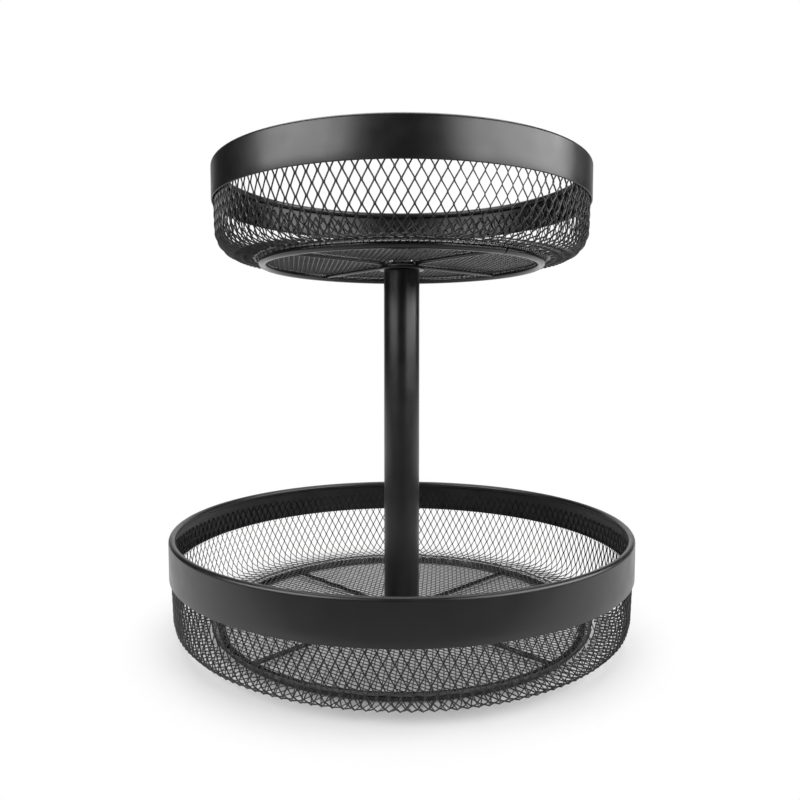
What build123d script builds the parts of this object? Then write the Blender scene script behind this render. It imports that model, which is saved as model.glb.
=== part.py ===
"""Two-tier wire basket: two round baskets of expanded steel mesh on one steel column.

Each basket is a rolled mesh wall hung inside a flat band with a curled top edge. The wall
turns in at a rounded shoulder and meets a flat mesh floor, which lies on a round wire foot
ring and on a cross of four wire spokes. The spokes are welded to a hub disc. The lower hub
disc carries the column, and the upper tier is held on the column by one screw, round which
it can be turned. Lengths are in millimetres. The origin is on the table under the column.
"""
from build123d import *
from math import ceil, cos, hypot, pi, radians, sin
import os

# The column: a steel tube with a threaded plug pressed into each end.
tube_diameter = 25.0
tube_wall = 1.5
tube_length = 239.0
plug_length = 15.0
plug_fit_gap = 0.05

# The rim bands: a steel strip on edge, whose top is curled inwards to a hollow bead.
band_thickness = 1.0
bead_diameter = 4.6
outer_curl_sides = 5
inner_curl_sides = 3
lower_band_diameter = 318.0
lower_band_height = 26.0
upper_band_diameter = 257.0
upper_band_height = 24.0

# The baskets: height from the underside of the mesh floor to the top of the bead.
lower_basket_height = 63.6
upper_basket_height = 59.8

# The mesh wall: how far it has drawn in where its line meets the floor, and the shoulder
# that rounds that corner. It ends at a seam with the floor, a little outside the foot ring.
mesh_thickness = 1.0
wall_fit_gap = 0.15
lower_wall_draw = 1.8
upper_wall_draw = 5.5
lower_shoulder_radius = 17.0
upper_shoulder_radius = 23.5
wall_bend_radius = 8.0
seam_outset = 5.0
seam_gap = 0.4

# The openings of the mesh are diamonds. They are counted here, and drawn larger than the
# real ones of about 6 by 12 mm, with wider strands between them.
lower_wall_cell_count = 42
upper_wall_cell_count = 34
wall_steps = 4
wall_border = 6.0
wall_strand = 2.0
lower_floor_cells = 12
upper_floor_cells = 8
floor_cell_length_share = 1.8
least_cell_share = 0.25
floor_strand = 2.4
floor_border = 3.0
upper_floor_turn = 9.0

# The foot rings and spokes: wire drawn with eight sides, so that the rings stand on a flat.
# Rings and spokes are flush on top, where the mesh floor lies on them.
wire_sides = 8
ring_wire = 5.0
ring_inset = 32.5
spoke_wire = 3.0
spoke_start_gap = 1.0
spoke_count = 4
lower_cross_turn = 45.0
upper_cross_turn = 40.0

# The hub discs.
disc_diameter = 32.0
disc_thickness = 2.5
disc_floor_gap = 0.6

# The screws: a low round head under the table side, a hexagon head and washer on top.
screw_diameter = 8.0
screw_hole_gap = 0.3
swivel_fit_gap = 0.1
swivel_end_gap = 0.05
thread_gap = 0.05
thread_reach = 12.0
button_head_diameter = 14.0
button_head_height = 4.0
button_edge_height = 1.2
socket_across = 5.0
socket_depth = 2.4
crown_share = 0.55
hex_across = 13.0
hex_head_height = 5.3
washer_diameter = 16.0
washer_thickness = 1.2
head_clear_gap = 2.0


def ring_shape(outer_radius, inner_radius, low, high):
    """A flat or long ring about the column axis, between two heights."""
    with BuildPart() as ring:
        with BuildSketch(Plane.XY.offset(low)):
            Circle(outer_radius)
            if inner_radius > 0:
                Circle(inner_radius, mode=Mode.SUBTRACT)
        extrude(amount=high - low)
    return ring.part


def arc_points(x, z, radius, sides):
    """Corners of a curl that starts outside and goes over the top through three quarters."""
    turns = [radians(270 * step / sides) for step in range(sides + 1)]
    return [(x + radius * cos(turn), z + radius * sin(turn)) for turn in turns]


def rim_band(radius, height, top):
    """The band: a flat strip on edge whose top curls inwards and under to a hollow bead."""
    bead = bead_diameter / 2
    outer = arc_points(radius - bead, top - bead, bead, outer_curl_sides)
    inner = arc_points(radius - bead, top - bead, bead - band_thickness, inner_curl_sides)
    foot = [(radius - band_thickness, top - height), (radius, top - height)]
    return revolve(Plane.XZ * make_face(Polyline(*outer, *reversed(inner), *foot, close=True)))


def wall_line(band_radius, band_low, band_top, draw, shoulder, floor_z, seam_radius):
    """The outer line of the mesh wall, from under the bead down to the seam with the floor."""
    inner = band_radius - band_thickness - wall_fit_gap
    return FilletPolyline(
        (inner, band_top - bead_diameter),
        (inner, band_low),
        (inner - draw, floor_z),
        (seam_radius, floor_z),
        radius=[wall_bend_radius, shoulder],
    )


def wall_rings(line, cells_around):
    """Rings of joints down the mesh wall, each an outer and an inner list of points.

    The joints of every second ring stand half a cell further round. The first and the last
    ring are the plain edges, and share the turn of the ring beside them.
    """
    step = (line.length - 2 * wall_border) / wall_steps
    places = [0, *[wall_border + step * row for row in range(wall_steps + 1)], line.length]
    stagger = [0, *[row % 2 / 2 for row in range(wall_steps + 1)], wall_steps % 2 / 2]
    rings = []
    for place, shift in zip(places, stagger):
        spot = line @ (place / line.length)
        along = line % (place / line.length)
        sides = []
        for depth in (0, mesh_thickness):
            reach = spot.X + depth * along.Y
            height = spot.Y - depth * along.X
            turns = [radians((cell + shift) * 360 / cells_around) for cell in range(cells_around)]
            sides.append([Vector(reach * cos(turn), reach * sin(turn), height) for turn in turns])
        rings.append(sides)
    return rings


def facet(*points):
    """One flat face through its corners."""
    return Face(Wire.make_polygon(points, close=True))


def joints_round(rings, row, side, cell):
    """The joints at the left, top, right and bottom of an opening. The last row has no bottom."""
    following = (cell + 1) % len(rings[row][side])
    ahead = following if row % 2 == 0 else cell
    joints = [rings[row][side][cell], rings[row - 1][side][ahead], rings[row][side][following]]
    if row <= wall_steps:
        joints.append(rings[row + 1][side][ahead])
    return joints


def hole_within(joints, step):
    """The corners of the hole between the joints: they are drawn in towards its middle."""
    left, right = joints[0], joints[2]
    middle = (left + right) / 2
    half = (right - left).length / 2
    inset = wall_strand / 2 * hypot(half, step) / (half * step)
    return [middle + (joint - middle) * (1 - inset) for joint in joints]


def opening_faces(rings, row, cell, step):
    """The strands round one opening, on both sides of the sheet, and the walls of its hole."""
    faces = []
    holes = []
    for side in (0, 1):
        joints = joints_round(rings, row, side, cell)
        hole = hole_within(joints, step)
        strands = 4 if row <= wall_steps else 2
        for near in range(strands):
            far = (near + 1) % len(joints)
            faces.append(facet(joints[near], joints[far], hole[far], hole[near]))
        if row > wall_steps:
            edge = rings[-1][side]
            faces.append(facet(joints[0], hole[0], hole[2], joints[2],
                               edge[(cell + 1) % len(edge)], edge[cell]))
        holes.append(hole)
    outer, inner = holes
    for near in range(len(outer)):
        far = (near + 1) % len(outer)
        faces.append(facet(outer[near], outer[far], inner[far]))
        faces.append(facet(outer[near], inner[far], inner[near]))
    return faces


def border_faces(rings, cell):
    """One stretch of the closed border behind the band, and of the two edges of the sheet."""
    faces = []
    for side in (0, 1):
        top, joints, lower = rings[0][side], rings[1][side], rings[2][side]
        following = (cell + 1) % len(top)
        faces.append(facet(top[cell], top[following], joints[following], joints[cell]))
        faces.append(facet(joints[cell], joints[following], lower[cell]))
    for outer, inner in (rings[0], rings[-1]):
        following = (cell + 1) % len(outer)
        faces.append(facet(outer[cell], outer[following], inner[following], inner[cell]))
    return faces


def side_mesh(line, cells_around):
    """The mesh wall, as a net: joints on a shell of revolution, and straight strands between.

    Each half of the strands round an opening is flat, and so is each half of the sheet there.
    The last row has the upper halves of its openings alone, down to the border at the seam.
    """
    rings = wall_rings(line, cells_around)
    step = (line.length - 2 * wall_border) / wall_steps
    faces = []
    for cell in range(cells_around):
        faces += border_faces(rings, cell)
        for row in range(2, wall_steps + 2):
            faces += opening_faces(rings, row, cell, step)
    return Solid(Shell(faces))


def diamond(half_width, half_height):
    """A diamond opening about its own centre."""
    corners = [(half_width, 0), (0, half_height), (-half_width, 0), (0, -half_height)]
    return make_face(Polyline(*corners, close=True))


def floor_mesh(radius, hole_radius, low, cells_across, turn):
    """The mesh floor: one flat disc full of diamonds, with a round hole for the hub."""
    across = 2 * radius / cells_across
    along = across * floor_cell_length_share
    inset = floor_strand / 2 * hypot(across, along) / (across * along) * 2
    opening = diamond(across / 2 * (1 - inset), along / 2 * (1 - inset))
    open_area = Circle(radius - floor_border) - Circle(hole_radius + floor_border)
    rows = ceil(2 * radius / along)
    openings = []
    for row in range(-rows, rows + 1):
        for column in range(-cells_across, cells_across + 1):
            place = Pos((column + row % 2 / 2) * across, row * along / 2)
            clipped = (place * opening) & open_area
            if clipped and clipped.area > least_cell_share * opening.area:
                openings.append(clipped)
    sheet = Circle(radius) - Circle(hole_radius) - openings
    return Pos(0, 0, low) * Rot(0, 0, turn) * extrude(sheet, mesh_thickness)


def wire_section(diameter):
    """The section of a wire, with one of its sides on top."""
    return RegularPolygon(diameter / 2, wire_sides, major_radius=False,
                          rotation=90 - 180 / wire_sides)


def foot_ring(radius, top):
    """The foot ring: one closed turn of wire."""
    return revolve(Plane.XZ * Pos(radius, top - ring_wire / 2) * wire_section(ring_wire))


def spoke(inner_radius, outer_radius, top, turn):
    """One spoke: a straight wire, flush with the foot ring on top, that ends against it."""
    place = Plane(origin=(inner_radius, 0, top - spoke_wire / 2), x_dir=(0, 1, 0),
                  z_dir=(1, 0, 0))
    wire = extrude(place * wire_section(spoke_wire), outer_radius - inner_radius)
    return Rot(0, 0, turn) * wire


def button_screw(seat, reach):
    """The screw under the lower hub: a low coned head with a hexagon socket, shank upwards."""
    low = seat - button_head_height
    edge = seat - button_edge_height
    head = button_head_diameter / 2
    crown = head * crown_share
    with BuildPart() as screw:
        with BuildSketch(Plane.XZ):
            with BuildLine():
                Polyline((0, low), (crown, low), (head, edge), (head, seat), (0, seat), close=True)
            make_face()
        revolve(axis=Axis.Z)
        with BuildSketch(Plane.XY.offset(seat)):
            Circle(screw_diameter / 2)
        extrude(amount=reach)
        with BuildSketch(Plane.XY.offset(low)):
            RegularPolygon(socket_across / 2, 6, major_radius=False)
        extrude(amount=socket_depth, mode=Mode.SUBTRACT)
    return screw.part


def hex_screw(seat, reach):
    """The screw of the upper tier: a hexagon head over its washer, shank downwards."""
    with BuildPart() as screw:
        with BuildSketch(Plane.XY.offset(seat)):
            RegularPolygon(hex_across / 2, 6, major_radius=False)
        extrude(amount=hex_head_height)
        with BuildSketch(Plane.XY.offset(seat)):
            Circle(screw_diameter / 2)
        extrude(amount=-reach)
    return screw.part


# Heights, from the table up.
lower_floor_z = ring_wire
lower_rim_top = lower_floor_z + lower_basket_height
lower_disc_top = lower_floor_z + disc_thickness
tube_top = lower_disc_top + tube_length
upper_disc_low = tube_top + swivel_end_gap
upper_disc_top = upper_disc_low + disc_thickness
upper_floor_z = upper_disc_top + spoke_wire
upper_rim_top = upper_floor_z + upper_basket_height
washer_low = upper_disc_top + swivel_end_gap
washer_top = washer_low + washer_thickness

# Radii, from the column axis out.
screw_radius = screw_diameter / 2
plug_radius = tube_diameter / 2 - tube_wall - plug_fit_gap
spoke_start = washer_diameter / 2 + spoke_start_gap


def basket(tier, band_diameter, band_height, rim_top, draw, shoulder, cells_around,
           floor_z, hub_hole, floor_cells, floor_turn, cross_turn):
    """One basket without its hub disc, as a dictionary of named solids."""
    ring_radius = band_diameter / 2 - ring_inset
    ring_inner = ring_radius - ring_wire / 2
    spoke_end = (ring_inner**2 - (spoke_wire / 2)**2) ** 0.5
    seam_radius = ring_radius + seam_outset
    line = wall_line(band_diameter / 2, rim_top - band_height, rim_top, draw, shoulder,
                     floor_z, seam_radius)
    parts = {
        tier + "_rim_band": rim_band(band_diameter / 2, band_height, rim_top),
        tier + "_side_mesh": side_mesh(line, cells_around),
        tier + "_floor_mesh": floor_mesh(seam_radius - seam_gap, hub_hole, floor_z,
                                         floor_cells, floor_turn),
        tier + "_foot_ring": foot_ring(ring_radius, floor_z),
    }
    for number in range(spoke_count):
        turn = cross_turn + number * 360 / spoke_count
        parts[tier + "_spoke_" + str(number + 1)] = spoke(spoke_start, spoke_end, floor_z, turn)
    return parts


def column():
    """The tube, the threaded plugs in its ends, the two screws and the washer."""
    screw_clear = screw_radius + thread_gap
    return {
        "column_tube": ring_shape(
            tube_diameter / 2, tube_diameter / 2 - tube_wall, lower_disc_top, tube_top
        ),
        "column_bottom_plug": ring_shape(
            plug_radius, screw_clear, lower_disc_top, lower_disc_top + plug_length
        ),
        "column_top_plug": ring_shape(
            plug_radius, screw_clear, tube_top - plug_length, tube_top
        ),
        "lower_screw": button_screw(lower_floor_z, disc_thickness + thread_reach),
        "upper_washer": ring_shape(
            washer_diameter / 2, screw_radius + screw_hole_gap, washer_low, washer_top
        ),
        "upper_screw": hex_screw(washer_top, washer_top - tube_top + thread_reach),
    }


parts = basket("lower", lower_band_diameter, lower_band_height, lower_rim_top,
               lower_wall_draw, lower_shoulder_radius, lower_wall_cell_count, lower_floor_z,
               disc_diameter / 2 + disc_floor_gap, lower_floor_cells, 0, lower_cross_turn)
parts.update(basket("upper", upper_band_diameter, upper_band_height, upper_rim_top,
                    upper_wall_draw, upper_shoulder_radius, upper_wall_cell_count, upper_floor_z,
                    washer_diameter / 2 + head_clear_gap, upper_floor_cells, upper_floor_turn,
                    upper_cross_turn))
parts["lower_hub_disc"] = ring_shape(
    disc_diameter / 2, screw_radius + screw_hole_gap, lower_floor_z, lower_disc_top
)
parts["upper_hub_disc"] = ring_shape(
    disc_diameter / 2, screw_radius + swivel_fit_gap, upper_disc_low, upper_disc_top
)
parts.update(column())

os.makedirs("parts", exist_ok=True)
for name, shape in parts.items():
    export_step(shape, "parts/" + name + ".step")
    print(name, round(shape.volume, 1))
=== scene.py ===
# %% [markdown]
# # A two-tier wire basket
#
# Two round baskets of expanded steel mesh stand one above the other on a steel column. The
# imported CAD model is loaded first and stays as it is: it gives the bodies, the joint and every
# place. Its plain solids are then stood for by finer pieces, made here from numpy arrays, in
# the same places. Lengths are in millimetres, and turned to metres where Blender gets them.

import bpy
import numpy as np
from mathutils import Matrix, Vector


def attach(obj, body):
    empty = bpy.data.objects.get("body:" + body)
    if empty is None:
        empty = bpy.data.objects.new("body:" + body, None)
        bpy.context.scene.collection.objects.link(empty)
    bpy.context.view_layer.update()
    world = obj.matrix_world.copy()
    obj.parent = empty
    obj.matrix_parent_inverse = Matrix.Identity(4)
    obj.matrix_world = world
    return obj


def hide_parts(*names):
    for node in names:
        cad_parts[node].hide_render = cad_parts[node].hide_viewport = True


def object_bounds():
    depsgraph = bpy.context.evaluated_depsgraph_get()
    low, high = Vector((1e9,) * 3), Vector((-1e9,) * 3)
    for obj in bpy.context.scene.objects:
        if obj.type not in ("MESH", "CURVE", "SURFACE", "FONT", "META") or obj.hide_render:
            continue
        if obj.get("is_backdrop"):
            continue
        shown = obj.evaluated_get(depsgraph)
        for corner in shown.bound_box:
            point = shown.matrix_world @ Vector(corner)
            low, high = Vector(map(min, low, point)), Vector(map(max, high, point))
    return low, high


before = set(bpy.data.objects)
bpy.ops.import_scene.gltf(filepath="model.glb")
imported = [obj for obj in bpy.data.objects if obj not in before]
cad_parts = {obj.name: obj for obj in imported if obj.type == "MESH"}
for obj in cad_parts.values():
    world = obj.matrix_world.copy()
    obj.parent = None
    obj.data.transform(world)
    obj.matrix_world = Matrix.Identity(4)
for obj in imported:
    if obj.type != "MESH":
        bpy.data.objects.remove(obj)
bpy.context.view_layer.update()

# %% [markdown]
# ## From arrays to a piece
#
# A mesh is a list of corners and a list of faces. Blender can take both from an operator, from
# bmesh, or from whole arrays. Arrays are chosen here, because a surface that is a function of
# two numbers is one line of numpy, and a net of thousands of strands is as easy as one strand.
# The object is left at the origin, with its place in its corners, as the CAD nodes are.

# %% Corners and faces into a mesh object
MILLIMETRE = 0.001
SHARP_BEND = 50


def mesh_object(name, points, face_sets, sharp_degrees=SHARP_BEND):
    """An object from corners in millimetres and arrays of faces, one row of corners a face.

    Edges that bend by more than sharp_degrees stay sharp, and all others are shaded smooth.
    """
    sizes = np.concatenate([np.full(len(faces), faces.shape[1]) for faces in face_sets])
    corners = np.concatenate([faces.ravel() for faces in face_sets])
    mesh = bpy.data.meshes.new(name)
    mesh.vertices.add(len(points))
    mesh.vertices.foreach_set("co", (points * MILLIMETRE).astype(np.float32).ravel())
    mesh.loops.add(len(corners))
    mesh.loops.foreach_set("vertex_index", corners.astype(np.int32))
    mesh.polygons.add(len(sizes))
    mesh.polygons.foreach_set("loop_start", (np.cumsum(sizes) - sizes).astype(np.int32))
    mesh.update(calc_edges=True)
    mesh.validate()
    mesh.shade_smooth()
    mesh.set_sharp_from_angle(angle=np.radians(sharp_degrees))
    made = bpy.data.objects.new(name, mesh)
    bpy.context.scene.collection.objects.link(made)
    return made


print("edges that bend by more than", SHARP_BEND, "degrees stay sharp")

# %% [markdown]
# ## Faces of a grid
#
# A surface of two numbers is a grid of points, and its faces join neighbours. They could be
# found by walking from point to point. Here the numbers of all corners are worked out at once.

# %% Neighbours on a grid


def grid_faces(rows, columns, rows_closed, columns_closed):
    """Faces between neighbours on a grid whose point (r, c) has the number r * columns + c.

    A closed direction joins its last line of points to its first.
    """
    row = np.arange(rows if rows_closed else rows - 1)[:, None]
    column = np.arange(columns if columns_closed else columns - 1)[None, :]
    above, beside = (row + 1) % rows, (column + 1) % columns
    corners = (row * columns + column, row * columns + beside,
               above * columns + beside, above * columns + column)
    return np.stack(np.broadcast_arrays(*corners), -1).reshape(-1, 4)


print("a grid of 3 by 4 points has", len(grid_faces(3, 4, False, False)), "faces")

# %% [markdown]
# ## Turned shapes
#
# The bands, the rings, the tube, the discs and the screws are all round. On a lathe such a
# piece is one outline carried about an axis, and Blender's Screw modifier could do that. Here
# the radius and the height are arrays of two numbers, the place on the outline and the turn,
# so that the same function also makes what a lathe can't: a hexagon head or a screw thread.

# %% Surfaces about the column axis


def about_axis(radii, heights, capped):
    """A surface about the upright axis from arrays of radius and height, outline by turn.

    A point's place is radius times (cos turn, sin turn), and its height. The outline runs
    up on its outer side. It is closed on itself, or capped by a fan of faces at each end.
    """
    radii, heights = np.broadcast_arrays(radii, heights)
    rings, sides = radii.shape
    turn = np.arange(sides) * 2 * np.pi / sides
    points = np.stack([radii * np.cos(turn), radii * np.sin(turn), heights], -1).reshape(-1, 3)
    faces = grid_faces(rings, sides, not capped, True)
    if not capped:
        return points, [faces]
    here = np.arange(sides)
    beside = (here + 1) % sides
    low, high = np.full(sides, len(points)), np.full(sides, len(points) + 1)
    last = (rings - 1) * sides
    poles = [[0, 0, heights[0].mean()], [0, 0, heights[-1].mean()]]
    fans = np.concatenate([np.stack([low, beside, here], -1),
                           np.stack([high, last + here, last + beside], -1)])
    return np.concatenate([points, poles]), [faces, fans]


def turned(outline, sides, capped=False):
    """The outline, in (radius, height), carried once about the column axis."""
    return about_axis(outline[:, :1] * np.ones(sides), outline[:, 1:], capped)


def swung(x, y, z, turn):
    """Points from arrays of x, y and z, swung about the column axis by a turn.

    The new x is x cos turn less y sin turn, and the new y is x sin turn plus y cos turn.
    """
    return np.stack([x * np.cos(turn) - y * np.sin(turn), x * np.sin(turn) + y * np.cos(turn),
                     z], -1)


square = np.array([[1, 0], [2, 0], [2, 1], [1, 1]])
print("a square carried round in 8 sides has", len(turned(square, 8)[0]), "points")

# %% [markdown]
# ## Rounded corners
#
# A tool and a coat of powder leave no sharp corner, and a rounded one catches a thin line of
# light. A Bevel modifier could round the finished piece. Here the outline is rounded before it
# is carried round, so each corner has just the radius and the points that it needs.

# %% A line with an arc at each corner


def rounded(corners, radius, steps=5, closed=True):
    """A line through corners of a plane, with each corner rounded by an arc.

    The arc touches both sides of its corner at radius divided by the tangent of half the
    angle there. Its centre lies on the line that halves the angle.
    """
    corners = np.array(corners, float)
    middle = corners if closed else corners[1:-1]
    back = (np.roll(corners, 1, 0) if closed else corners[:-2]) - middle
    ahead = (np.roll(corners, -1, 0) if closed else corners[2:]) - middle
    back /= np.linalg.norm(back, axis=1, keepdims=True)
    ahead /= np.linalg.norm(ahead, axis=1, keepdims=True)
    half = np.arccos(np.clip((back * ahead).sum(1), -1, 1))[:, None] / 2
    radius = np.broadcast_to(np.array(radius, float), len(middle))[:, None]
    bisector = (back + ahead) / np.linalg.norm(back + ahead, axis=1, keepdims=True)
    centre = middle + bisector * radius / np.sin(half)
    start = middle + back * radius / np.tan(half) - centre
    end = middle + ahead * radius / np.tan(half) - centre
    first = np.arctan2(start[:, 1], start[:, 0])
    swing = np.arctan2(end[:, 1], end[:, 0]) - first
    swing = (swing + np.pi) % (2 * np.pi) - np.pi
    turn = first[:, None] + swing[:, None] * np.linspace(0, 1, steps)
    arcs = centre[:, None] + radius[:, None] * np.stack([np.cos(turn), np.sin(turn)], -1)
    arcs = arcs.reshape(-1, 2)
    return arcs if closed else np.concatenate([corners[:1], arcs, corners[-1:]])


print("one corner becomes", len(rounded([[0, 0], [1, 0], [0, 1]], 0.1)) // 3, "points")

# %% [markdown]
# ## Colours and shader nodes
#
# A shader wants linear light, but colours are picked and written as sRGB hex values, so one
# function turns the one into the other. Another small function adds a node with its settings
# and its links. A material is then a short list of nodes, read from the top down.

# %% One function for colours, one for nodes


def linear(hex_colour):
    """Linear red, green, blue and alpha from an sRGB hex colour.

    Each channel c is c / 12.92 up to 0.04045, and ((c + 0.055) / 1.055) to the power 2.4 above.
    """
    channels = np.array([int(hex_colour[i:i + 2], 16) for i in (1, 3, 5)]) / 255
    low = channels / 12.92
    high = ((channels + 0.055) / 1.055) ** 2.4
    return (*np.where(channels <= 0.04045, low, high), 1.0)


def add_node(tree, kind, settings=None, links=None):
    """Adds one shader node. A setting is an attribute of the node or, failing that, a socket.

    A link joins a source to a socket, which is given by its name or, where sockets share one
    name, by its number.
    """
    made = tree.nodes.new("ShaderNode" + kind)
    for name, value in (settings or {}).items():
        if hasattr(made, name):
            setattr(made, name, value)
        else:
            made.inputs[name].default_value = value
    for name, source in (links or {}).items():
        tree.links.new(source, made.inputs[name])
    return made


def empty_material(name):
    """A new material whose node tree is empty, and that tree."""
    made = bpy.data.materials.new(name)
    made.use_nodes = True
    made.node_tree.nodes.clear()
    return made, made.node_tree


print("near-black #141415 is", round(linear("#141415")[0], 4), "in linear light")

# %% [markdown]
# ## Black powder-coated steel
#
# The whole stand is mild steel with a satin black powder coat. The powder is sprayed on dry
# and melts in an oven to a skin of about 0.08 mm. It rounds every edge, and it sets with a fine
# orange peel: waves of one to two millimetres that are only microns high. The eye gets a very
# dark, neutral surface with broad soft reflections. A hard polyester skin has an IOR near 1.6,
# and a satin one a roughness of 0.3 to 0.4. On the thin round wires the melt runs smoother, so
# they throw sharper lights. Both patterns are noise on Object coordinates.

# %% The powder coat
COAT_DARK = "#09090a"
COAT_LIGHT = "#0e0e0f"
COAT_IOR = 1.6
PEEL_WAVE = 1.6
PEEL_HEIGHT = 0.004
SHADE_PATCH = 14.0
PATCH_LOW = 0.35
PATCH_HIGH = 0.65


def powder_coat(name, peel_strength, smoothest, roughest):
    """A satin black powder coat. One noise moves its shade and roughness, a finer one its height."""
    made, tree = empty_material(name)
    place = add_node(tree, "TexCoord").outputs["Object"]
    patches = add_node(tree, "TexNoise", {"Scale": 1 / (SHADE_PATCH * MILLIMETRE), "Detail": 3.0},
                       {"Vector": place})
    shade = add_node(tree, "ValToRGB", {}, {"Fac": patches.outputs["Fac"]})
    shade.color_ramp.elements[0].position = PATCH_LOW
    shade.color_ramp.elements[0].color = linear(COAT_DARK)
    shade.color_ramp.elements[1].position = PATCH_HIGH
    shade.color_ramp.elements[1].color = linear(COAT_LIGHT)
    gloss = add_node(tree, "MapRange", {"From Min": PATCH_LOW, "From Max": PATCH_HIGH,
                                        "To Min": smoothest, "To Max": roughest},
                     {"Value": patches.outputs["Fac"]})
    peel = add_node(tree, "TexNoise", {"Scale": 1 / (PEEL_WAVE * MILLIMETRE), "Detail": 1.0},
                    {"Vector": place})
    bump = add_node(tree, "Bump", {"Strength": peel_strength, "Distance": PEEL_HEIGHT * MILLIMETRE},
                    {"Height": peel.outputs["Fac"]})
    skin = add_node(tree, "BsdfPrincipled", {"IOR": COAT_IOR},
                    {"Base Color": shade.outputs["Color"], "Roughness": gloss.outputs["Result"],
                     "Normal": bump.outputs["Normal"]})
    add_node(tree, "OutputMaterial", {}, {"Surface": skin.outputs["BSDF"]})
    return made


coat_on_sheet = powder_coat("satin_black_powder_coat_on_sheet", peel_strength=1.0,
                            smoothest=0.30, roughest=0.36)
coat_on_mesh = powder_coat("satin_black_powder_coat_on_mesh", peel_strength=0.6,
                           smoothest=0.34, roughest=0.44)
coat_on_wire = powder_coat("satin_black_powder_coat_on_wire", peel_strength=0.5,
                           smoothest=0.22, roughest=0.28)
print("orange peel waves of", PEEL_WAVE, "mm,", PEEL_HEIGHT, "mm high")

# %% [markdown]
# ## Zinc-plated and blackened steel
#
# The plugs, the washer and the hexagon screw are bought parts. The plugs are electroplated with
# a few microns of zinc, which leaves a cool grey metal with faint cloudy patches. The screw and
# its washer are blackened: a hot salt bath turns the skin of the steel to black oxide, which is
# then oiled, so it is nearly black but throws small sharp glints. Both are metals, so metallic
# is 1, the IOR stays at its default, and the colour is that of the reflections.

# %% Plated and blackened steel
CLOUD = 4.0
GRIT = 0.35
GRIT_HEIGHT = 0.003


def bare_metal(name, cool, warm, smoothest, roughest):
    """A metal with cloudy patches of two tints and a fine grit in its roughness and height."""
    made, tree = empty_material(name)
    place = add_node(tree, "TexCoord").outputs["Object"]
    clouds = add_node(tree, "TexNoise", {"Scale": 1 / (CLOUD * MILLIMETRE), "Detail": 4.0},
                      {"Vector": place})
    tint = add_node(tree, "ValToRGB", {}, {"Fac": clouds.outputs["Fac"]})
    tint.color_ramp.elements[0].color = linear(cool)
    tint.color_ramp.elements[1].color = linear(warm)
    grit = add_node(tree, "TexNoise", {"Scale": 1 / (GRIT * MILLIMETRE), "Detail": 2.0},
                    {"Vector": place})
    gloss = add_node(tree, "MapRange", {"To Min": smoothest, "To Max": roughest},
                     {"Value": grit.outputs["Fac"]})
    bump = add_node(tree, "Bump", {"Strength": 0.5, "Distance": GRIT_HEIGHT * MILLIMETRE},
                    {"Height": grit.outputs["Fac"]})
    metal = add_node(tree, "BsdfPrincipled", {"Metallic": 1.0},
                     {"Base Color": tint.outputs["Color"], "Roughness": gloss.outputs["Result"],
                      "Normal": bump.outputs["Normal"]})
    add_node(tree, "OutputMaterial", {}, {"Surface": metal.outputs["BSDF"]})
    return made


zinc_plate = bare_metal("zinc_plated_steel", cool="#b4bac2", warm="#c6c4bc",
                        smoothest=0.22, roughest=0.42)
black_oxide = bare_metal("black_oxide_steel", cool="#2c2d30", warm="#383634",
                         smoothest=0.20, roughest=0.34)
print("grit of", GRIT, "mm")

# %% [markdown]
# ## A finished piece
#
# Each new piece gets its material, rides on a CAD body, and hides the CAD nodes that it stands for.
# One function does all three, so that none is forgotten.


def finish_piece(name, shape, material, body, nodes=(), sharp_degrees=SHARP_BEND):
    """Makes the object, ties it to its body, and hides the CAD nodes it stands for."""
    points, face_sets = shape
    made = mesh_object(name, points, face_sets, sharp_degrees)
    made.data.materials.append(material)
    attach(made, body)
    if nodes:
        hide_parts(*nodes)
    print(name, "on", body, "-", sum(len(faces) for faces in face_sets), "faces")


# %% [markdown]
# ## The sizes
#
# Each basket has a height that its floor lies at, a rim, a band, and a wall that draws in
# towards the floor. The values are the CAD model's, in millimetres. Two differ: the photograph
# shows walls that are steeper and shoulders that are fuller than the CAD model's, so the walls
# draw in less here, and the shoulders have smaller radii.

# %% Both baskets in numbers
BODY = {"lower": "stand", "upper": "upper_tier"}
BAND_RADIUS = {"lower": 159.0, "upper": 128.5}
BAND_LOW = {"lower": 42.6, "upper": 287.85}
RIM_TOP = {"lower": 68.48, "upper": 311.73}
FLOOR = {"lower": 5.0, "upper": 252.05}
RING_RADIUS = {"lower": 126.5, "upper": 96.0}
HUB_HOLE = {"lower": 16.6, "upper": 10.0}
WALL_DRAW = {"lower": 1.2, "upper": 0.9}
SHOULDER = {"lower": 11.0, "upper": 17.0}
BAND_THICKNESS = 1.0
BEAD_RADIUS = 2.25
WALL_GAP = 0.15
WALL_BEND = 8.0
SEAM_OUTSET = 5.0
print("heights of both rims:", RIM_TOP)

# %% [markdown]
# ## The rim bands
#
# Each rim is a steel strip, rolled to a ring and standing on edge. Its top is curled inwards to
# a round bead, which makes the rim stiff and safe to the hand. The outline is the strip's
# section: up the outside, three quarters of a circle over the top, back along the inner side of
# the curl, and down the inside to a rounded lower edge. It is turned about the axis.

# %% Strip and bead as one outline
BAND_SIDES = 288
CURL_STEPS = 25
EDGE_ROUND = 0.42
EDGE_RUN = 6.0


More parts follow.
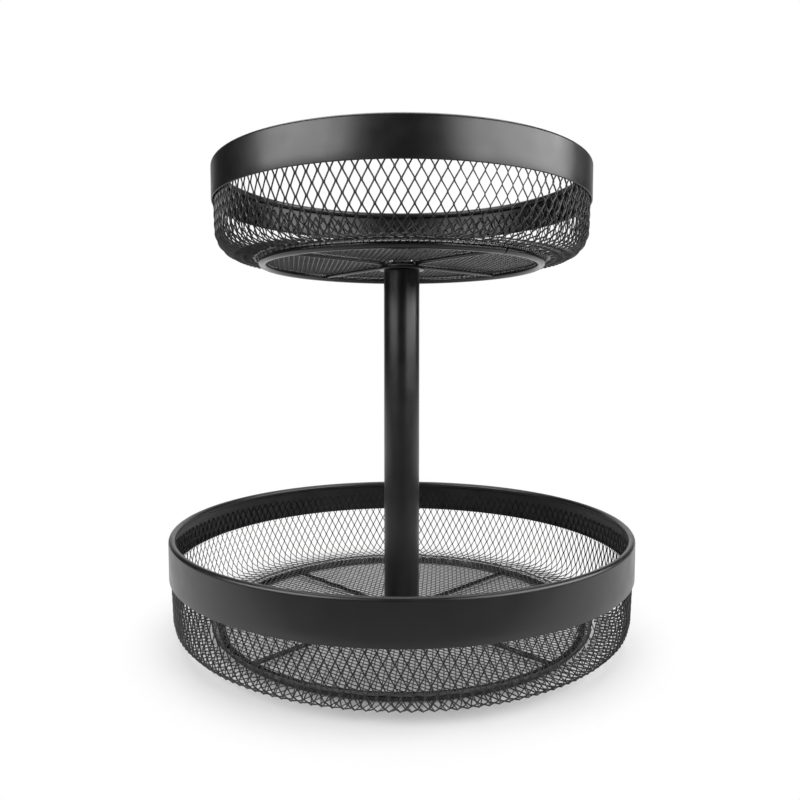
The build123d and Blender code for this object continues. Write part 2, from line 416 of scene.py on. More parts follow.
def band_outline(radius, low, top):
    """The section of the band in (radius, height), against the clock.

    The curl's points are its centre plus radius times (cos, sin) of turns from 0 to 270 degrees,
    out and, on a radius that is less by the strip's thickness, back.
    """
    centre = np.array([radius - BEAD_RADIUS, top - BEAD_RADIUS])
    outer = np.radians(np.linspace(0, 270, CURL_STEPS))[:, None]
    inner = outer[::-2]
    curl_out = centre + BEAD_RADIUS * np.hstack([np.cos(outer), np.sin(outer)])
    curl_in = centre + (BEAD_RADIUS - BAND_THICKNESS) * np.hstack([np.cos(inner), np.sin(inner)])
    foot = rounded([[radius - BAND_THICKNESS, low + EDGE_RUN], [radius - BAND_THICKNESS, low],
                    [radius, low], [radius, low + EDGE_RUN]], EDGE_ROUND, closed=False)
    return np.concatenate([curl_out, curl_in, foot])


for tier in BODY:
    outline = band_outline(BAND_RADIUS[tier], BAND_LOW[tier], RIM_TOP[tier])
    finish_piece(tier + "_band", turned(outline, BAND_SIDES), coat_on_sheet, BODY[tier],
                 [tier + "_rim_band"])

# %% [markdown]
# ## How expanded mesh is made
#
# Expanded mesh isn't woven. A steel sheet is slit in staggered rows and pulled open, so the
# slits become diamonds and nothing is cut away. Two strands meet side by side in each joint,
# which is two strands wide and longer than it is wide. Pulling tips every joint and strand over
# about the long way of the diamonds, so the sheet isn't flat: that tilt makes some strands
# catch the light while their neighbours stay dark.
#
# A grid of tubes or a wireframe modifier would give round wires with even knots. Here each
# joint is one small tilted block with six corners on each side, and each strand is a bar from
# half of its top edge to half of the bottom edge of the joint above. That is 14 faces for a
# joint with both its strands. Smooth shading rounds the bars as the coat does. There are three
# sheets: one for each wall, and a finer one for both floors. The upper wall's is tilted the
# most, which makes its strands thick and black on the left and thin on the right.

# %% One joint and its two strands
rng = np.random.default_rng(11)
LOWER_WALL = {"width": 0.62, "thickness": 0.52, "joint": 0.8, "tilt": -37}
UPPER_WALL = {"width": 0.8, "thickness": 0.68, "joint": 1.0, "tilt": -56}
WALL_SHEET = {"lower": LOWER_WALL, "upper": UPPER_WALL}
FLOOR_SHEET = {"width": 0.55, "thickness": 0.5, "joint": 0.6, "tilt": -35}
TILT_SPREAD = 0.03
LEFT_TOP, MID_TOP, RIGHT_TOP, RIGHT_LOW, MID_LOW, LEFT_LOW = range(6)
SIDE_CORNERS = np.array([[-1, 1], [0, 1], [1, 1], [1, -1], [0, -1], [-1, -1]])
CORNERS_A_SIDE = len(SIDE_CORNERS)
CORNERS_A_JOINT = 2 * CORNERS_A_SIDE


def joint_offsets(sheet, count):
    """Where the 12 corners of each joint lie from its middle: across, along and out of the sheet.

    The width runs along (cos tilt, 0, sin tilt) and the thickness along (-sin tilt, 0, cos tilt).
    """
    side = np.repeat([1, -1], CORNERS_A_SIDE)
    across = np.tile(SIDE_CORNERS[:, 0], 2) * sheet["width"]
    along = np.tile(SIDE_CORNERS[:, 1], 2) * sheet["joint"] / 2
    thick = side * sheet["thickness"] / 2
    tilt = np.radians(sheet["tilt"]) + rng.normal(0, TILT_SPREAD, (count, 1))
    return (across * np.cos(tilt) - thick * np.sin(tilt), along + 0 * tilt,
            across * np.sin(tilt) + thick * np.cos(tilt))


print("one joint has", CORNERS_A_JOINT, "corners")

# %% [markdown]
# ## The faces of a net
#
# A joint is two half blocks side by side, and a strand is a bar between two joints. Each could
# be closed by itself, but a face between two of them is never seen and would break the smooth
# shading, so it is left out. Where no strand leaves a joint, at the sheet's edges, a face closes
# it. So the whole net is one closed mesh.

# %% Joints, strands and closed ends


def bar_faces(low_left, low_right, high_right, high_left):
    """Front, back, left and right faces of a bar, from its front corners.

    A corner on the back has the number of the one in front of it plus the corners a side.
    """
    back = CORNERS_A_SIDE
    return [np.stack([low_left, low_right, high_right, high_left], -1),
            np.stack([high_left, high_right, low_right, low_left], -1) + back,
            np.stack([high_left + back, low_left + back, low_left, high_left], -1),
            np.stack([low_right + back, high_right + back, high_right, low_right], -1)]


def net_faces(up_right, up_left):
    """Faces of a net. Each joint names the joints above it, or -1 where it has no strand."""
    joints = np.arange(len(up_right))
    first = joints * CORNERS_A_JOINT
    left_half = bar_faces(first + LEFT_LOW, first + MID_LOW, first + MID_TOP, first + LEFT_TOP)
    right_half = bar_faces(first + MID_LOW, first + RIGHT_LOW, first + RIGHT_TOP, first + MID_TOP)
    faces = left_half[:3] + right_half[:2] + right_half[3:]
    edges = ((up_right, MID_TOP, RIGHT_TOP, MID_LOW, LEFT_LOW),
             (up_left, LEFT_TOP, MID_TOP, RIGHT_LOW, MID_LOW))
    for above, low_left, low_right, high_right, high_left in edges:
        here, there = first[above >= 0], above[above >= 0] * CORNERS_A_JOINT
        faces += bar_faces(here + low_left, here + low_right, there + high_right,
                           there + high_left)
        for ends, near, far in ((first[above < 0], low_left, low_right),
                                (np.setdiff1d(first, there), high_right, high_left)):
            faces.append(np.stack([ends + near, ends + far, ends + far + CORNERS_A_SIDE,
                                   ends + near + CORNERS_A_SIDE], -1))
    return [np.concatenate(faces)]


print("one joint by itself has", len(net_faces(np.array([-1]), np.array([-1]))[0]), "faces")

# %% [markdown]
# ## The mesh walls
#
# The wall is a strip of mesh rolled to a ring inside the band, with the long way of its diamonds
# upright, and then pressed in at the bottom to a round shoulder. Its line in section goes down
# behind the band, bends a little inwards, rounds the shoulder and runs in to the seam with the
# floor. A curve object could draw it, but as an array of points it can be measured along.

# %% The line of a wall in section
BEAD_CLEARANCE = 0.2
LINE_STEPS = 40
NUDGE = 0.2


def wall_line(tier):
    """Points along the outer side of the wall, from the seam up to the bead, and their lengths."""
    reach = BAND_RADIUS[tier] - BAND_THICKNESS - WALL_GAP
    corners = [[RING_RADIUS[tier] + SEAM_OUTSET, FLOOR[tier]],
               [reach - WALL_DRAW[tier], FLOOR[tier]],
               [reach, BAND_LOW[tier]],
               [reach, RIM_TOP[tier] - 2 * BEAD_RADIUS - BEAD_CLEARANCE]]
    line = rounded(corners, [SHOULDER[tier], WALL_BEND], LINE_STEPS, closed=False)
    steps = np.linalg.norm(np.diff(line, axis=0), axis=1)
    return line, np.concatenate([[0], np.cumsum(steps)])


def on_line(line, lengths, place):
    """Radius, height and outward direction at a length along the line, read between its points.

    The way ahead is the step from a little before the place to a little after it, brought to
    length 1, and the outward direction is that turned by 90 degrees.
    """
    here, after, before = (
        np.stack([np.interp(place + shift, lengths, line[:, axis]) for axis in (0, 1)])
        for shift in (0, NUDGE, -NUDGE))
    ahead = (after - before) / np.linalg.norm(after - before, axis=0)
    return here[0], here[1], ahead[1], -ahead[0]


for tier in BODY:
    print(tier, "wall line:", round(wall_line(tier)[1][-1], 1), "mm long")

# %% [markdown]
# ## The nets on the walls
#
# An image on a plain wall could show the diamonds, but it would have no depth and no holes at a
# slant. So every strand is made. A joint's place is its length along the wall's line, and its
# turn comes from counting round: 163 diamonds below and 114 above, as the photograph shows. On
# the shoulder the circle gets shorter, so the diamonds get narrower, as they do in the pressed
# sheet. Near the seam the press has pushed the strands about, so joints there stray more.

# %% Rows of joints, and the net laid along them
WALL_JOINTS = {"lower": 163, "upper": 114}
ROW_STEP = {"lower": 5.85, "upper": 6.3}
ROW_HEIGHT = {"lower": 34.2, "upper": 278.5}
FIRST_TURN = {"lower": -91.36, "upper": -91.8}
ROW_SHIFT = {"lower": 0.0, "upper": 0.5}
CLEAR_OF_FLOOR = 1.0
JOINT_STRAY = 0.05
PRESSED_LENGTH = 5.0
PRESSED_STRAY = 0.7
PRESSED_LIFT = 0.35
NO_SHARP_BEND = 180


def wall_net(tier):
    """A net on the wall: rows of joints up its line, with every second row half a turn step on.

    A corner's place is the joint's place along the line plus its own offset, its turn is the
    joint's turn plus its offset divided by the radius, and it stands out of the line by its
    offset in the outward direction.
    """
    line, lengths = wall_line(tier)
    upright = line[:, 1] > FLOOR[tier] + CLEAR_OF_FLOOR
    anchor = np.interp(ROW_HEIGHT[tier], line[upright, 1], lengths[upright])
    step, count = ROW_STEP[tier], WALL_JOINTS[tier]
    margin = WALL_SHEET[tier]["joint"] / 2
    below = int((anchor - margin) // step)
    above = int((lengths[-1] - anchor - margin) // step)
    rows = np.arange(-below, above + 1)
    stagger = rows % 2 / 2
    number = np.arange(len(rows) * count).reshape(len(rows), count)
    shifted = (rows % 2 == 1)[:, None]
    ahead, behind = np.roll(number, -1, 1), np.roll(number, 1, 1)
    up_right = np.full_like(number, -1)
    up_left = np.full_like(number, -1)
    up_right[:-1] = np.where(shifted[:-1], ahead[1:], number[1:])
    up_left[:-1] = np.where(shifted[:-1], number[1:], behind[1:])
    turn = np.radians(FIRST_TURN[tier] + (np.arange(count) + stagger[:, None] + ROW_SHIFT[tier])
                      * 360 / count).ravel()
    place = np.repeat(anchor + rows * step, count) + rng.normal(0, JOINT_STRAY, number.size)
    near_seam = np.exp(-place / PRESSED_LENGTH)
    place = np.clip(place + near_seam * rng.normal(0, PRESSED_STRAY, number.size), margin,
                    lengths[-1] - margin)
    across, along, out = joint_offsets(WALL_SHEET[tier], number.size)
    out = out - out.max() + near_seam[:, None] * rng.normal(0, PRESSED_LIFT, (number.size, 1))
    radius, height, out_r, out_z = on_line(line, lengths, place[:, None] + along)
    angle = turn[:, None] + across / radius
    reach = radius + out * out_r
    points = np.stack([reach * np.cos(angle), reach * np.sin(angle), height + out * out_z], -1)
    return points.reshape(-1, 3), net_faces(up_right.ravel(), up_left.ravel())


for tier in BODY:
    finish_piece(tier + "_wall_net", wall_net(tier), coat_on_mesh, BODY[tier],
                 [tier + "_side_mesh"], sharp_degrees=NO_SHARP_BEND)

# %% [markdown]
# ## The mesh floors
#
# Each floor is a round piece cut from a flat sheet of a finer mesh, with a round hole for the
# hub. The sheet lies turned so that one family of its strands points nearly straight away from
# the camera. From below, where the eye is almost in the plane of the floor, those strands line
# up to straight bright bars. A lattice of joints covers the disc. Joints that fall just outside
# are drawn in to the edge, so that every strand ends on the circle where it was cut, and the
# rest is left out.

# %% The lattice, its edge and its hole
FLOOR_PITCH = 3.87
FLOOR_ROW = 3.54
FLOOR_TURN = {"lower": 25.0, "upper": -19.3}
FLOOR_SET_UP = 0.56
FLOOR_SET_IN = 0.6
FLOOR_STRAY = 0.02
LEAST_STRAND = 1.0


def joint_above(values, shifted, right, fill):
    """The values of the joints one row up, to the right or to the left."""
    lifted = np.full_like(values, fill)
    lifted[:-1] = values[1:]
    sideways = np.full_like(values, fill)
    if right:
        sideways[:, :-1] = lifted[:, 1:]
        return np.where(shifted, sideways, lifted)
    sideways[:, 1:] = lifted[:, :-1]
    return np.where(shifted, lifted, sideways)


def floor_net(tier):
    """A flat net between two circles. A joint at (x, y) has its neighbours half a pitch aside.

    A joint past the edge or in the hole is drawn to the circle by its x and y times the
    circle's radius divided by its own distance.
    """
    edge, hole = RING_RADIUS[tier] + SEAM_OUTSET - FLOOR_SET_IN, HUB_HOLE[tier]
    rows = int(edge / FLOOR_ROW) + 2
    columns = int(edge / FLOOR_PITCH) + 3
    row, column = np.mgrid[-rows:rows + 1, -columns:columns + 1]
    x = (column + row % 2 / 2) * FLOOR_PITCH
    y = row * FLOOR_ROW
    reach = np.hypot(x, y)
    inside = (reach < edge - LEAST_STRAND) & (reach > hole + LEAST_STRAND)
    shifted = row % 2 == 1
    number = np.arange(row.size).reshape(row.shape)
    links = []
    kept = inside.copy()
    for right in (True, False):
        joined = joint_above(number, shifted, right, -1)
        strand = (joined >= 0) & (inside | joint_above(inside, shifted, right, False))
        kept |= strand
        kept.ravel()[joined[strand]] = True
        links.append(np.where(strand, joined, -1))
    new_number = np.full(row.size + 1, -1)
    new_number[:-1][kept.ravel()] = np.arange(kept.sum())
    up_right, up_left = (new_number[link[kept]] for link in links)
    drawn = np.clip(reach[kept], hole, edge) / reach[kept]
    x, y = np.stack([x[kept], y[kept]]) * drawn + rng.normal(0, FLOOR_STRAY, (2, kept.sum()))
    across, along, out = joint_offsets(FLOOR_SHEET, len(x))
    points = swung(x[:, None] + across, y[:, None] + along, FLOOR[tier] + FLOOR_SET_UP + out,
                   np.radians(FLOOR_TURN[tier]))
    return points.reshape(-1, 3), net_faces(up_right, up_left)


for tier in BODY:
    finish_piece(tier + "_floor_net", floor_net(tier), coat_on_mesh, BODY[tier],
                 [tier + "_floor_mesh"], sharp_degrees=NO_SHARP_BEND)

# %% [markdown]
# ## The seam between wall and floor
#
# Where wall and floor meet, the cut ends of both sheets are folded over each other, squeezed
# flat and welded, which leaves a ragged lip that runs all the way round. A Displace modifier
# could roughen a plain ring. Here the lip is a closed tube with a flat section, and its width,
# thickness and place wander with sums of sine waves. Each wave fits a whole number of times into
# the circle, so that the lip closes.

# %% A ragged lip from sums of waves
LIP_WIDTH = 1.3
LIP_THICKNESS = 0.45
LIP_SET_IN = 0.2
LIP_RISE = 0.7
LIP_STEPS = 720
LIP_SIDES = 8
WAVES = 24
LEAST_WAVE_COUNT = 9
MOST_WAVE_COUNT = 149
LEAST_STRENGTH = 0.3
LIP_STRAY = 0.5
LIP_WAVE = 0.3
WIDTH_WAVE_SHARE = 0.45
THICKNESS_WAVE_SHARE = 0.4


def wander(turn, size):
    """A sum of sine waves round the circle, with random strengths and phases.

    Each wave is strength times sin(count times turn plus phase), and the sum is scaled so that
    its highest value is the given size.
    """
    counts = rng.choice(np.arange(LEAST_WAVE_COUNT, MOST_WAVE_COUNT + 1), WAVES, replace=False)
    strengths = rng.uniform(LEAST_STRENGTH, 1, WAVES)
    phases = rng.uniform(0, 2 * np.pi, WAVES)
    total = (strengths * np.sin(counts * turn[:, None] + phases)).sum(1)
    return size * total / np.abs(total).max()


def seam_lip(tier):
    """A tube round the seam: radius plus width times cos, and height plus thickness times sin."""
    turns = np.linspace(0, 2 * np.pi, LIP_STEPS, endpoint=False)
    section = np.linspace(0, 2 * np.pi, LIP_SIDES, endpoint=False)[:, None]
    middle = RING_RADIUS[tier] + SEAM_OUTSET - LIP_SET_IN + wander(turns, LIP_STRAY)
    level = FLOOR[tier] + LIP_RISE + wander(turns, LIP_WAVE)
    width = LIP_WIDTH * (1 + wander(turns, WIDTH_WAVE_SHARE))
    thickness = LIP_THICKNESS * (1 + wander(turns, THICKNESS_WAVE_SHARE))
    return about_axis(middle + width * np.cos(section), level + thickness * np.sin(section), False)


for tier in BODY:
    finish_piece(tier + "_seam_lip", seam_lip(tier), coat_on_mesh, BODY[tier])

# %% [markdown]
# ## Foot rings
#
# A foot ring is drawn steel wire, bent round and butt-welded. A low collar of weld shows at the
# joint, with a slit in its middle that the weld didn't fill. A torus from Blender's menu would
# be the ring without its joint. Here the wire's radius changes with the turn as well, and more
# points stand where the slit is. Top and bottom get no collar, so that the floor lies on the
# ring and the ring stands flat on the table.

# %% Round wire, bent to a ring
RING_WIRE = 2.5
RING_STEPS = 240
WIRE_STEPS = 24
COLLAR_TURN = {"lower": 245.0, "upper": 309.0}
COLLAR_HEIGHT = 0.25
COLLAR_LENGTH = 1.1
SLIT_DEPTH = 0.9
SLIT_WIDTH = 0.4
SLIT_REACH = 0.025
SLIT_STEPS = 41
SEAT_SHARE = 0.6


def foot_ring(tier):
    """A torus of wire with a butt joint.

    A point's distance from the axis is the ring's radius plus the wire's radius times cos of
    its place on the section, and its height the wire's radius times sin. The wire's radius
    grows by a bell curve of the distance from the weld, and a narrower one is taken off it.
    """
    weld = np.radians(COLLAR_TURN[tier])
    even = np.linspace(0, 2 * np.pi, RING_STEPS, endpoint=False)
    fine = weld + np.linspace(-SLIT_REACH, SLIT_REACH, SLIT_STEPS)
    turns = np.unique(np.concatenate([even, fine]).round(5))
    away = np.angle(np.exp(1j * (turns - weld))) * RING_RADIUS[tier]
    collar = (COLLAR_HEIGHT * np.exp(-(away / COLLAR_LENGTH) ** 2)
              - SLIT_DEPTH * np.exp(-(away / SLIT_WIDTH) ** 4))
    section = np.linspace(0, 2 * np.pi, WIRE_STEPS, endpoint=False)[:, None]
    on_seat = np.abs(np.sin(section)) > SEAT_SHARE
    wire = RING_WIRE + np.where(on_seat, np.minimum(collar, 0), collar)
    radius = RING_RADIUS[tier] + wire * np.cos(section)
    height = FLOOR[tier] - RING_WIRE + wire * np.sin(section)
    points = np.stack([radius * np.cos(turns), radius * np.sin(turns), height], -1)
    return points.reshape(-1, 3), [grid_faces(len(section), len(turns), True, True)]


print("a foot ring has", len(foot_ring("lower")[0]), "points")

# %% [markdown]
# ## Spokes
#
# The spokes are four straight lengths of thinner wire under each floor, cut square with a
# slightly broken edge. A cylinder could be added and turned four times, but a piece has to keep
# its object at the origin. So a turned rod is laid on its side as an array, and the array is
# swung into place. Ring and spokes are one welded frame, so they are finished tier by tier.

# %% Straight wire, laid in a cross under each ring
SPOKE_WIRE = 1.5
SPOKE_START = 9.0
SPOKE_END_GAP = 0.1
SPOKE_EDGE = 0.25
SPOKE_SIDES = 20
SPOKE_COUNT = 4
CROSS_TURN = {"lower": 45.0, "upper": 40.0}


def lay_out(shape, turn, height):
    """Lays a turned shape on its side, pointing away from the column, and swings it into place.

    The shape's height becomes the way out, its x the way to the side, and its y the way up.
    """
    points, faces = shape
    return swung(points[:, 2], points[:, 0], points[:, 1] + height, turn), faces


def spoke_rod(tier):
    """A rod of wire, standing on the axis, from the spoke's start to just inside the ring."""
    reach = np.hypot(RING_RADIUS[tier] - RING_WIRE, SPOKE_WIRE) - SPOKE_END_GAP
    outline = rounded([[0, SPOKE_START], [SPOKE_WIRE, SPOKE_START], [SPOKE_WIRE, reach],
                       [0, reach]], SPOKE_EDGE, closed=False)[1:-1]
    return turned(outline, SPOKE_SIDES, capped=True)


for tier in BODY:
    finish_piece(tier + "_ring", foot_ring(tier), coat_on_wire, BODY[tier], [tier + "_foot_ring"])
    for number in range(SPOKE_COUNT):
        turn = np.radians(CROSS_TURN[tier] + number * 360 / SPOKE_COUNT)
        laid = lay_out(spoke_rod(tier), turn, FLOOR[tier] - SPOKE_WIRE)
        finish_piece(f"{tier}_wire_{number + 1}", laid, coat_on_wire, BODY[tier],
                     [f"{tier}_spoke_{number + 1}"])

# %% [markdown]
# ## Welds
#
# A spoke is held by a short bead of weld on both sides where it crosses the edge of the hub
# disc, and by three where it meets the foot ring. The coat covers them, so they show as soft
# lumps that catch the light. They could be sculpted one by one, but a lump is a small thing that
# one formula gives: a sphere, stretched along its joint and rippled. No two are quite alike.

# %% Lumps of weld, all from one sphere
LUMP = np.array([1.9, 0.85, 0.85])
LEAST_STRETCH = 0.8
MOST_STRETCH = 1.2
LUMP_ROWS = 7
LUMP_SIDES = 12
RIPPLE_HEIGHT = 0.08
RIPPLES = 9
DISC_LOW = {"lower": 5.0, "upper": 246.55}
DISC_WELD = 15.2
DISC_WELD_ASIDE = 1.75
DISC_WELD_OFF = 0.9
RING_WELD_GAP = 0.3
RING_WELD_ASIDE = 1.3
RING_WELD_OFF = 1.0
TABLE_CLEARANCE = 0.2


def weld_places(tier):
    """Places of one spoke's lumps: away from the axis, to the side, and height."""
    at_ring = RING_RADIUS[tier] - RING_WIRE - RING_WELD_GAP
    middle = FLOOR[tier] - SPOKE_WIRE
    at_disc = middle + (DISC_WELD_OFF if DISC_LOW[tier] > middle else -DISC_WELD_OFF)
    return [(DISC_WELD, DISC_WELD_ASIDE, at_disc), (DISC_WELD, -DISC_WELD_ASIDE, at_disc),
            (at_ring, RING_WELD_ASIDE, middle), (at_ring, -RING_WELD_ASIDE, middle),
            (at_ring, 0, middle - RING_WELD_OFF)]


def weld_lumps(tier):
    """Copies of one rippled sphere, stretched by a random amount, at the places of the welds.

    The sphere's radius is cos of the rise and its height sin of the rise, from below to above.
    The ripple multiplies all by 1 plus a small sine of the place along the lump.
    """
    rise = np.linspace(-1, 1, LUMP_ROWS + 2)[1:-1, None] * np.pi / 2
    ball, faces = about_axis(np.cos(rise) * np.ones(LUMP_SIDES), np.sin(rise), True)
    ball = ball * (1 + RIPPLE_HEIGHT * np.sin(RIPPLES * ball[:, :1]))
    points, face_sets = [], []
    for turn in np.radians(CROSS_TURN[tier] + np.arange(SPOKE_COUNT) * 360 / SPOKE_COUNT):
        for place in weld_places(tier):
            stretch = rng.uniform(LEAST_STRETCH, MOST_STRETCH, 3) * LUMP
            lengthwise = stretch if place[0] == DISC_WELD else stretch[[1, 0, 2]]
            x, y, z = (ball * lengthwise + place).T
            z = np.clip(z, TABLE_CLEARANCE, FLOOR[tier])
            face_sets += [corners + len(points) * len(ball) for corners in faces]
            points.append(swung(x, y, z, turn))
    return np.concatenate(points), face_sets


for tier in BODY:
    finish_piece(tier + "_welds", weld_lumps(tier), coat_on_wire, BODY[tier])

# %% [markdown]
# ## The hub discs and the tube
#
# The discs are punched from plate, and the tube is cut from length: plain turned shapes, whose
# edges the tool and the coat have broken. Cylinders with holes cut by a Boolean modifier would
# leave long thin faces. So each is the outline of its section, with a small radius on every
# corner, carried round.

# %% Discs and tube
DISC_RADIUS = 16.0
DISC_THICKNESS = 2.5
DISC_HOLE = {"lower": 4.3, "upper": 4.1}
DISC_EDGE = 0.45
DISC_SIDES = 96
TUBE_RADIUS = 12.5
TUBE_BORE = 11.0
TUBE_LOW = DISC_LOW["lower"] + DISC_THICKNESS
TUBE_TOP = 246.5
TUBE_EDGE = 0.35
TUBE_SIDES = 128


def plate_ring(inner, outer, low, high, edge):
    """The outline of a flat or long ring, with its four corners rounded."""
    return rounded([[outer, low], [outer, high], [inner, high], [inner, low]], edge)


for tier in BODY:
    low = DISC_LOW[tier]
    outline = plate_ring(DISC_HOLE[tier], DISC_RADIUS, low, low + DISC_THICKNESS, DISC_EDGE)
    finish_piece(tier + "_disc", turned(outline, DISC_SIDES), coat_on_sheet, BODY[tier],
                 [tier + "_hub_disc"])
tube = plate_ring(TUBE_BORE, TUBE_RADIUS, TUBE_LOW, TUBE_TOP, TUBE_EDGE)
finish_piece("tube", turned(tube, TUBE_SIDES), coat_on_sheet, "stand", ["column_tube"])

# %% [markdown]
# ## Hexagons and threads
#
# A hexagon and a thread could be cut from a cylinder by Boolean modifiers. Here they are radii.
# A hexagon is a radius that changes with the turn: half the width across the flats, divided by
# the cosine of the angle from the middle of the nearest flat. A thread is a radius that changes
# with height and turn together.

# %% Radii that change with turn and height
SCREW_SIDES = 48
SHANK = 4.0
SHANK_TIP = 3.2
TIP_LENGTH = 0.6
THREAD_PITCH = 1.25
THREAD_DEPTH = 0.55
ROWS_A_PITCH = 6
SHARP_SCREW_BEND = 25


def hexagon(across):
    """The radius of a hexagon at every turn, from its width across the flats."""
    turn = np.arange(SCREW_SIDES) * 2 * np.pi / SCREW_SIDES
    return across / 2 / np.cos((turn + np.pi / 6) % (np.pi / 3) - np.pi / 6)


def thread(low, high):
    """Radii and heights of a threaded shank.

    The phase is the fraction left of height over pitch less turn. The radius is the shank's,
    less the depth times how far twice the phase is from 1.
    """
    heights = np.arange(low, high, THREAD_PITCH / ROWS_A_PITCH)[:, None] * np.ones(SCREW_SIDES)
    turn = np.arange(SCREW_SIDES) / SCREW_SIDES
    phase = (heights / THREAD_PITCH - turn) % 1
    return SHANK - THREAD_DEPTH * np.abs(2 * phase - 1), heights


def stack_rings(*rings):
    """Rings of (radius, height), each a number or an array round the turn, stacked into arrays."""
    radii = [np.atleast_2d(radius * np.ones(SCREW_SIDES)) for radius, height in rings]
    heights = [np.atleast_2d(height * np.ones(SCREW_SIDES)) for radius, height in rings]
    return np.concatenate(radii), np.concatenate(heights)


print("thread pitch", THREAD_PITCH, "mm, depth", THREAD_DEPTH, "mm")

# %% [markdown]
# ## The hexagon screw and its washer
#
# The upper tier hangs on one M8 hexagon screw with a washer. The head is forged: its top is
# turned to a flat with a shallow dish, and a cone of 30 degrees takes its six corners down. A
# hexagon prism with a Bevel modifier would lack that cone. Here the rings of one surface go from
# the tip up to the middle of the head, and the cone is a height that changes with the turn.

# %% Hexagon screw and washer
HEX_ACROSS = 13.0
HEX_TIP = 234.5
HEX_THREAD_END = 247.5
THREAD_RUN_OUT = 0.7
HEX_SEAT = 250.3
HEX_TOP = 255.6
HEX_UNDERSIDE = 6.1
HEX_EDGE = 0.15
HEX_EDGE_LOW = 0.1
HEX_EDGE_HIGH = 0.3
HEX_FLAT = 6.15
HEX_CONE = 6.3
CONE_DEGREES = 30
DISH_RIM = 5.0
DISH = 4.7
DISH_DEPTH = 0.15
WASHER_RADIUS = 8.0
WASHER_HOLE = 4.3
WASHER_THICKNESS = 1.2
WASHER_EDGE = 0.25
WASHER_SIDES = 64

head = hexagon(HEX_ACROSS)
corner_drop = (head - HEX_CONE) * np.tan(np.radians(CONE_DEGREES))
radii, heights = stack_rings(
    (SHANK_TIP, HEX_TIP), thread(HEX_TIP + TIP_LENGTH, HEX_THREAD_END),
    (SHANK, HEX_THREAD_END + THREAD_RUN_OUT), (SHANK, HEX_SEAT), (HEX_UNDERSIDE, HEX_SEAT),
    (head - HEX_EDGE, HEX_SEAT + HEX_EDGE_LOW), (head, HEX_SEAT + HEX_EDGE_HIGH),
    (head, HEX_TOP - corner_drop), (HEX_FLAT, HEX_TOP), (DISH_RIM, HEX_TOP),
    (DISH, HEX_TOP - DISH_DEPTH))
finish_piece("hexagon_screw", about_axis(radii, heights, True), black_oxide, "stand",
             ["upper_screw"], sharp_degrees=SHARP_SCREW_BEND)
washer = plate_ring(WASHER_HOLE, WASHER_RADIUS, HEX_SEAT - WASHER_THICKNESS, HEX_SEAT,
                    WASHER_EDGE)
finish_piece("washer", turned(washer, WASHER_SIDES), black_oxide, "stand", ["upper_washer"])

# %% [markdown]
# ## The socket screw
#
# A second screw, with a low round head and a hexagon socket, holds the lower hub from below. The
# socket could be cut out by a Boolean modifier. Here the rings of one surface go from the bottom
# of the socket down and out, over the dome of the head, in under the disc, and up the shank to
# the tip. The dome is a quarter of an ellipse.

# %% Socket screw
SOCKET_ACROSS = 5.0
SOCKET_TOP = 3.4
SOCKET_TOP_SHARE = 0.9
SOCKET_TOP_EDGE = 0.1
SOCKET_MOUTH = 1.02
MOUTH_BEVEL = 0.12
MOUTH_BEVEL_HEIGHT = 0.13
DOME_STEPS = 9
DOME_INNER = 3.4
DOME_LOW = 1.0
HEAD_RADIUS = 7.0
HEAD_EDGE_LOW = 4.1
HEAD_SEAT = 5.0
HEAD_EDGE = 0.15
THREAD_START = 7.6
THREAD_END = 18.6
SOCKET_TIP = 19.4

socket = hexagon(SOCKET_ACROSS)
dome = np.linspace(0, 1, DOME_STEPS)[:, None] * np.pi / 2
dome_radius = DOME_INNER + (HEAD_RADIUS - DOME_INNER) * np.sin(dome)
dome_height = DOME_LOW + (HEAD_EDGE_LOW - DOME_LOW) * (1 - np.cos(dome))
radii, heights = stack_rings(
    (socket * SOCKET_TOP_SHARE, SOCKET_TOP), (socket, SOCKET_TOP - SOCKET_TOP_EDGE),
    (socket, SOCKET_MOUTH + MOUTH_BEVEL_HEIGHT), (socket + MOUTH_BEVEL, SOCKET_MOUTH),
    (dome_radius, dome_height), (HEAD_RADIUS, HEAD_SEAT - HEAD_EDGE),
    (HEAD_RADIUS - HEAD_EDGE, HEAD_SEAT), (SHANK, HEAD_SEAT),
    (SHANK, THREAD_START - TIP_LENGTH), thread(THREAD_START, THREAD_END),
    (SHANK_TIP, SOCKET_TIP))
finish_piece("socket_screw", about_axis(radii, heights, True), coat_on_sheet, "stand",
             ["lower_screw"], sharp_degrees=SHARP_SCREW_BEND)

# %% [markdown]
# ## CAD nodes that stay
#
# The two plugs inside the tube are hidden and right as they are. New ones could be made like the
# screws, but nobody would see them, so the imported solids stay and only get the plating.

# %% Material for the plugs
for node in ("column_bottom_plug", "column_top_plug"):
    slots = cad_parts[node].data.materials
    if not slots:
        slots.append(zinc_plate)
    for index in range(len(slots)):
        slots[index] = zinc_plate
print("plugs plated")

# %% [markdown]
# ## The floor
#
# The photograph was taken on a white table, between soft boxes. The floor is one large pale
# sheet with a plain matt material, so it keeps the shadow. Farther out the camera and the
# reflections see it fade to pure white, by Light Path and a distance from the column, and no
# light is added for that. The sheet ends just below the picture, as the table did.

# %% A pale matt sheet that fades to white
FLOOR_COLOUR = "#eaeaea"
FLOOR_SIZE = 2500.0
FLOOR_FRONT = -218.0
FLOOR_DROP = 0.02
FADE_FROM = 150.0
FADE_TO = 195.0
PAPER_GRAIN = 3.0
PAPER_HEIGHT = 0.01

